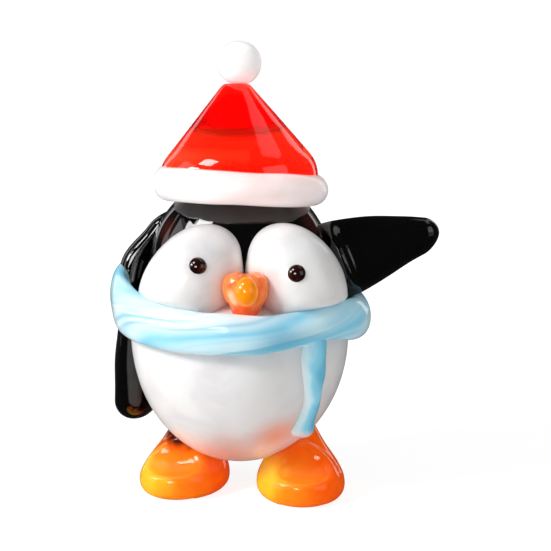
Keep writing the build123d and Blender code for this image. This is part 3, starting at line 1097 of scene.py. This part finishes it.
class PENGUIN_OT_beak(bpy.types.Operator):
    """Add the beak's orange base and the yellow drop on it"""

    bl_idname = "penguin.beak"
    bl_label = "Beak"

    def execute(self, context):
        settings = context.scene.penguin_beak
        centre = Vector(settings.centre)
        notch_half_width = 0.8 * MM
        notch_start = 0.3
        thinnest = 0.35
        rings = []
        for part in spaced(72):
            height, width = shares_at(BEAK_SHARES, part)
            swell = end_swell(part, 0.12, 0.16)
            level = centre + UP * (settings.half_height * height)
            half_side = settings.half_width * width * swell
            half_back = settings.half_depth * (thinnest + (1 - thinnest) * width) * swell
            ring = level_ring(level, half_side, half_back, 96)
            for point in ring:
                aside = (point.x - centre.x) / notch_half_width
                dip = smooth_step((height - notch_start) / (1 - notch_start)) * max(0.0, 1 - aside * aside)
                point.z -= settings.notch * dip
            rings.append(ring)
        base = skin("beak_base", rings)
        dent(base, depth=0.07 * MM, size=1.8 * MM, seed=3)
        settle(base, ["beak_base"], beak_glass(settings))
        tip_centre = centre + Vector(settings.tip_offset)
        taper = 0.04

        def egg_shape(point):
            """Narrow the drop a little towards its top."""
            narrow = 1 - taper * point.z / settings.tip_half[2]
            return tip_centre + Vector((point.x * narrow, point.y * narrow, point.z))

        tip = skin("beak_tip", reshape(gob_rings(settings.tip_half, 48, 72), egg_shape))
        settle(tip, ["beak_tip"], drop_glass(settings))
        return {"FINISHED"}


def belly_front(body, side, height):
    """How far to the front the belly's skin lies at a place."""
    radius = BODY_RADIUS * sqrt(max(0.01, 1 - ((height - body.height) / body.half_height) ** 2))
    return -sqrt(max(1e-8, radius ** 2 - side ** 2))


class PENGUIN_OT_scarf(bpy.types.Operator):
    """Add the scarf's ring and its hanging end"""

    bl_idname = "penguin.scarf"
    bl_label = "Scarf"

    def execute(self, context):
        settings = context.scene.penguin_scarf
        body = context.scene.penguin_body
        glass = scarf_glass(settings)
        thickness = settings.half_thickness
        steps = 260
        rings = []
        for index in range(steps):
            turn = 2 * pi * index / steps
            height, width, reach = scarf_shares(turn)
            outward = Vector((sin(turn), -cos(turn), 0))
            centre = Vector((
                (settings.reach_side - thickness) * reach * sin(turn),
                -(settings.reach_front - thickness) * reach * cos(turn),
                settings.height + settings.slant * height,
            ))
            rings.append(ellipse_ring(centre, outward, UP, thickness, settings.half_width * width, 72))
        wrap = skin("scarf_wrap", rings, closed=True)
        dent(wrap, depth=0.3 * MM, size=4.5 * MM, seed=4)
        settle(wrap, ["scarf_wrap"], glass)

        band_front = -settings.reach_front * sqrt(1 - (settings.tail_side / settings.reach_side) ** 2)
        fall = settings.tail_top - settings.tail_bottom
        rings = []
        for part in spaced(150):
            height_share, width, swing, lift = shares_at(TAIL_SHARES, part)
            height = settings.tail_bottom + fall * height_share
            side = settings.tail_side - settings.tail_swing * swing
            front = belly_front(body, side, height)
            reach = front + (band_front - front) * lift - settings.tail_proud + settings.tail_half_thickness
            size = width * end_swell(height_share, 0.13, 0.02)
            half_side = settings.tail_half_width * size
            half_back = settings.tail_half_thickness * size
            rings.append(level_ring(Vector((side, reach, height)), half_side, half_back, 64))
        tail = skin("scarf_tail", rings)
        dent(tail, depth=0.14 * MM, size=2.5 * MM, seed=5)
        settle(tail, ["scarf_tail"], tail_glass(settings))
        return {"FINISHED"}


class PENGUIN_OT_wings(bpy.types.Operator):
    """Add the hanging wing and the raised wing"""

    bl_idname = "penguin.wings"
    bl_label = "Wings"

    def execute(self, context):
        settings = context.scene.penguin_wings
        body = context.scene.penguin_body
        outward = Vector((-cos(settings.hanging_turn), sin(settings.hanging_turn), 0))
        along = Vector((sin(settings.hanging_turn), cos(settings.hanging_turn), 0))
        fall = settings.hanging_top - settings.hanging_bottom
        rings = []
        for part in spaced(200):
            height_share, reach, width, thickness = shares_at(HANGING_SHARES, part)
            centre = outward * (settings.hanging_reach * reach)
            centre.z = settings.hanging_bottom + fall * height_share
            swell = end_swell(height_share, 0.11, 0.06)
            half_width = settings.hanging_half_width * width * swell
            half_thickness = settings.hanging_half_thickness * thickness * swell
            rings.append(ellipse_ring(centre, along, outward, half_width, half_thickness, 96))
        hanging = skin("wing_hanging", rings)
        dent(hanging, depth=0.25 * MM, size=5 * MM, seed=6)
        # The spots below are painted red-brown light showing through the wing's thin edge.
        edge = outward * 14 * MM - along * 2.4 * MM
        thin = (
            (outward * 13.6 * MM + mm(0, 0, 8.5), 4 * MM, 0.8),
            *((edge + mm(0, 0, height), 2.6 * MM, 0.9) for height in (10.5, 13.5, 16.5)),
        )
        settle(hanging, ["wing_hanging"], black_glass("hanging_glass", body, thin))

        span = settings.raised_tip - settings.raised_root
        rise = settings.raised_top - settings.raised_bottom
        rings = []
        for part in spaced(180):
            reach_share, lower, upper, thickness = shares_at(RAISED_SHARES, part)
            centre = Vector((
                settings.raised_root + span * reach_share,
                -settings.raised_back,
                settings.raised_bottom + rise * (lower + upper) / 2,
            ))
            swell = end_swell(reach_share, 0.01, 0.125)
            half_thickness = settings.raised_half_thickness * thickness * swell
            half_height = rise * (upper - lower) / 2 * swell
            rings.append(ellipse_ring(centre, BACK, UP, half_thickness, half_height, 96))

        def lipped(point):
            """Push out the lip that ran round the root when the hot wing was pressed on."""
            if point.y >= -settings.raised_back:
                return point
            down = (settings.lip_top - point.z) / settings.lip_length
            away = (point.x - settings.lip_side - settings.lip_slant * down) / settings.lip_half_width
            bulge = max(0.0, 1 - away * away) ** 2 * max(0.0, 1 - (2 * down - 1) ** 4)
            return point - BACK * (settings.lip_height * bulge)

        raised = skin("wing_raised", reshape(rings, lipped))
        dent(raised, depth=0.16 * MM, size=5 * MM, seed=7)
        glass = black_glass("raised_glass", body, stretch=(0.3, 1, 1))
        settle(raised, ["wing_raised"], glass)
        return {"FINISHED"}


class PENGUIN_OT_feet(bpy.types.Operator):
    """Add the two pressed orange feet"""

    bl_idname = "penguin.feet"
    bl_label = "Feet"

    def execute(self, context):
        settings = context.scene.penguin_feet
        sides = (
            ("left", settings.left_place, -settings.left_turn, settings.dark_ankle),
            ("right", settings.right_place, settings.right_turn, settings.red),
        )
        count = 120
        for side, where, turn, ankle in sides:
            forward = Vector((sin(turn), -cos(turn), 0))
            across = Vector((cos(turn), sin(turn), 0))
            rings = []
            for index in range(count):
                height_share, width, size, back = shares_at(FOOT_SHARES, index / (count - 1))
                centre = Vector(where) - forward * (settings.half_length * back)
                centre.z = max(0.0, settings.ankle_height * height_share)
                half_length = settings.half_length * size
                half_width = settings.half_width * width
                rings.append(ellipse_ring(centre, forward, across, half_length, half_width, 120))
            dish_middle = Vector(where) + forward * (settings.half_length * settings.dish_forward)
            dish_middle.z += settings.dish_height
            outward = forward * 0.6 + UP * 0.8
            upward = across.cross(outward)
            underside = -2.2 * MM
            rim_place, rim_width = 1.12, 0.4

            def pressed(point):
                """Press the dish into the top of the foot, with a rim round it."""
                away = point - dish_middle
                if away.dot(outward) < underside:
                    return point
                sideways = away.dot(across) / settings.dish_half_width
                lengthways = away.dot(upward) / settings.dish_half_length
                gap = sqrt(sideways ** 2 + lengthways ** 2)
                dish = max(0.0, 1 - gap * gap) ** 1.5
                rim = max(0.0, 1 - ((gap - rim_place) / rim_width) ** 2) ** 2
                return point + outward * (settings.rim_height * rim - settings.dish_depth * dish)

            foot = skin(f"foot_{side}", reshape(rings, pressed))
            glass = foot_glass(f"foot_{side}_glass", settings, where[0], ankle)
            settle(foot, [f"foot_{side}"], glass)
        return {"FINISHED"}


class PENGUIN_OT_hat(bpy.types.Operator):
    """Add the white band, the clear red cone and the bobble"""

    bl_idname = "penguin.hat"
    bl_label = "Hat"

    def execute(self, context):
        settings = context.scene.penguin_hat
        body = context.scene.penguin_body
        band_plane = hat_frame(settings, settings.roll)
        cone_plane = hat_frame(settings, settings.cone_lean)
        bulge = settings.brim_height / 2
        margin, step_width, step_rise = 0.22 * MM, 0.35 * MM, 0.1 * MM
        middle = settings.brim_radius - margin - bulge
        turns = [radians(degrees) for degrees in range(-90, 67, 6)]
        outer = [Vector((middle + bulge * cos(turn), bulge + bulge * sin(turn))) for turn in turns]
        step_radius = outer[-1].x - step_width
        step_height = settings.cone_seat + step_rise
        band = [Vector((0, 0)), *outer, Vector((step_radius, step_height)), Vector((0, step_height))]
        brim = lathe("hat_brim", densify(band, 0.5 * MM), Matrix())
        for vertex in brim.data.vertices:
            vertex.co.z *= 1 - settings.brim_taper * vertex.co.x / settings.brim_radius
            vertex.co.z -= settings.brim_sink
            vertex.co = HOME + band_plane @ (vertex.co - HOME)
        dent(brim, depth=0.16 * MM, size=5 * MM, seed=8)
        # A painted pink glow that the red cone throws on the white band.
        glow = (Vector(settings.seat) + mm(3, -8, 0), 12 * MM, 0.16)
        # The lift is a painted glow that stands in for light passed on from behind.
        white = white_glass("brim_glass", body, (glow,), depth=2.5 * MM, lift=0.24)
        settle(brim, ["hat_brim"], white)

        cone_points = rounded((
            (0, settings.cone_seat, 0),
            (settings.cone_radius, settings.cone_seat, 0.5 * MM),
            (settings.cone_radius, settings.cone_shoulder - 0.3 * MM, 1.4 * MM),
            (settings.cone_top_radius, settings.cone_height, 0.5 * MM),
            (0, settings.cone_height, 0),
        ))
        cone = lathe("hat_cone", densify(cone_points, 0.4 * MM), cone_plane)
        dent(cone, depth=0.03 * MM, size=7 * MM, seed=9)
        for side, height in BUBBLES:
            add_bubble(cone, HOME + cone_plane @ mm(side, BUBBLE_BACK, height), settings.bubble_radius)
        settle(cone, ["hat_cone"], red_glass(settings, cone_plane))

        above = settings.cone_height + settings.bobble_radius - settings.bobble_sink
        centre = cone_plane @ Vector((settings.bobble_side, 0, above))
        bobble = add_ball("hat_bobble", centre, settings.bobble_radius, 64, 88)
        dent(bobble, depth=0.05 * MM, size=2.5 * MM, seed=10)
        # The lift is a painted glow that stands in for light passed on from behind.
        white = white_glass("bobble_glass", body, depth=2.5 * MM, lift=0.26)
        settle(bobble, ["hat_bobble"], white)
        return {"FINISHED"}


# Stage


def look_at(made, where, aim):
    """Places a light or a camera and turns it to a point. Both places are measured from HOME."""
    made.location = HOME + Vector(where)
    made.rotation_mode = "QUATERNION"
    made.rotation_quaternion = (Vector(aim) - Vector(where)).to_track_quat("-Z", "Y")


def add_softbox(name, where, aim_height, size, power, lights, mirrored):
    """A rectangular light. It can be left out as a light, or left out of reflections."""
    data = bpy.data.lights.new(name, "AREA")
    data.shape = "RECTANGLE"
    data.size, data.size_y = size
    data.energy = power
    made = add_object(name, data)
    made.visible_diffuse = lights
    made.visible_transmission = lights
    made.visible_glossy = mirrored
    look_at(made, mm(*where), mm(0, 0, aim_height))


def white_world(ambient, reflected, backlight):
    """White to the camera and through clear glass, dimmer as a light and dark in reflections."""
    world = bpy.data.worlds.new("white_world")
    bpy.context.scene.world = world
    world.use_nodes = True
    tree = world.node_tree
    tree.nodes.clear()
    path = tree.nodes.new("ShaderNodeLightPath")
    behind_glass = maths(tree, "MULTIPLY", path.outputs["Is Transmission Ray"], backlight)
    seen = maths(tree, "MAXIMUM", path.outputs["Is Camera Ray"], behind_glass)
    lighting = maths(tree, "MULTIPLY_ADD", path.outputs["Is Diffuse Ray"], ambient - reflected, reflected)
    strength = maths(tree, "MAXIMUM", seen, lighting)
    surround = add_node(tree, "ShaderNodeBackground", Color=(1, 1, 1, 1), Strength=strength)
    out = tree.nodes.new("ShaderNodeOutputWorld")
    tree.links.new(surround.outputs[0], out.inputs["Surface"])


def joined(tree, kind, *sources):
    """Output of a new node whose inputs are linked in order."""
    made = tree.nodes.new(kind)
    for socket, source in zip(made.inputs, sources):
        tree.links.new(source, socket)
    return made.outputs[0]


def floor_material(reflected):
    """White paper that keeps a soft shadow and stays dark in reflections."""
    material, tree = new_material("white_floor")
    where = object_space(tree)
    path = tree.nodes.new("ShaderNodeLightPath")
    through = path.outputs["Is Transmission Ray"]
    grain = mixed(tree, cloud(tree, where, scale=60, detail=4), (0.9, 0.9, 0.9), (0.93, 0.93, 0.93))
    diffuse = add_node(tree, "ShaderNodeBsdfDiffuse", Color=grain)
    dark = add_node(tree, "ShaderNodeEmission", Color=(1, 1, 1, 1), Strength=reflected)
    mirrored = maths(tree, "SUBTRACT", path.outputs["Is Glossy Ray"], through, clamp=True)
    unseen = joined(tree, "ShaderNodeMixShader", mirrored, diffuse.outputs[0], dark.outputs[0])
    soft = add_node(tree, "ShaderNodeBsdfDiffuse", Color=(0.28, 0.28, 0.28, 1))
    far = eased(tree, vector_maths(tree, "LENGTH", where)["Value"], 50 * MM, 250 * MM)
    brightness = maths(tree, "MULTIPLY_ADD", far, 0.15, 0.85)
    glow = add_node(tree, "ShaderNodeEmission", Color=(1, 1, 1, 1), Strength=brightness)
    in_view = joined(tree, "ShaderNodeAddShader", soft.outputs[0], glow.outputs[0])
    seen = maths(tree, "MAXIMUM", path.outputs["Is Camera Ray"], through)
    finish_material(tree, joined(tree, "ShaderNodeMixShader", seen, unseen, in_view))
    return material


class PENGUIN_OT_stage(bpy.types.Operator):
    """Add the white floor, the surroundings, the lights and the camera"""

    bl_idname = "penguin.stage"
    bl_label = "Stage"

    def execute(self, context):
        scene = context.scene
        settings = scene.penguin_stage
        count = 96
        rim = level_ring(HOME, settings.floor_radius, settings.floor_radius, count)
        floor = add_mesh("floor", rim, [tuple(range(count))])
        floor.location.z = -0.02 * MM
        floor.data.materials.append(floor_material(settings.reflected))

        white_world(settings.ambient, settings.reflected, settings.backlight)
        for light in LIGHTS:
            add_softbox(*light)

        data = bpy.data.cameras.new("camera")
        data.lens = settings.lens
        data.sensor_width = 36
        data.clip_start = 0.01
        data.clip_end = 10
        camera = add_object("camera", data)
        look_at(camera, settings.camera, settings.aim)
        scene.camera = camera
        scene.view_settings.view_transform = "Standard"
        return {"FINISHED"}


OPERATORS = (
    PENGUIN_OT_body, PENGUIN_OT_face, PENGUIN_OT_beak, PENGUIN_OT_scarf,
    PENGUIN_OT_wings, PENGUIN_OT_feet, PENGUIN_OT_hat, PENGUIN_OT_stage,
)


class PENGUIN_PT_panel(bpy.types.Panel):
    """Buttons for the pieces, in the order in which they are made"""

    bl_idname = "PENGUIN_PT_panel"
    bl_label = "Glass penguin"
    bl_space_type = "VIEW_3D"
    bl_region_type = "UI"
    bl_category = "Penguin"

    def draw(self, context):
        for operator in OPERATORS:
            self.layout.operator(operator.bl_idname)


def register():
    for group_name, group in GROUPS.items():
        bpy.utils.register_class(group)
        setattr(bpy.types.Scene, group_name, bpy.props.PointerProperty(type=group))
    for made in (*OPERATORS, PENGUIN_PT_panel):
        bpy.utils.register_class(made)


def unregister():
    for made in (PENGUIN_PT_panel, *reversed(OPERATORS)):
        bpy.utils.unregister_class(made)
    for group_name, group in GROUPS.items():
        delattr(bpy.types.Scene, group_name)
        bpy.utils.unregister_class(group)


def main():
    register()
    for operator in OPERATORS:
        group, action = operator.bl_idname.split(".")
        outcome = getattr(getattr(bpy.ops, group), action)()
        if outcome != {"FINISHED"}:
            raise RuntimeError(f"{operator.bl_label} did not finish")


if __name__ == "__main__":
    main()
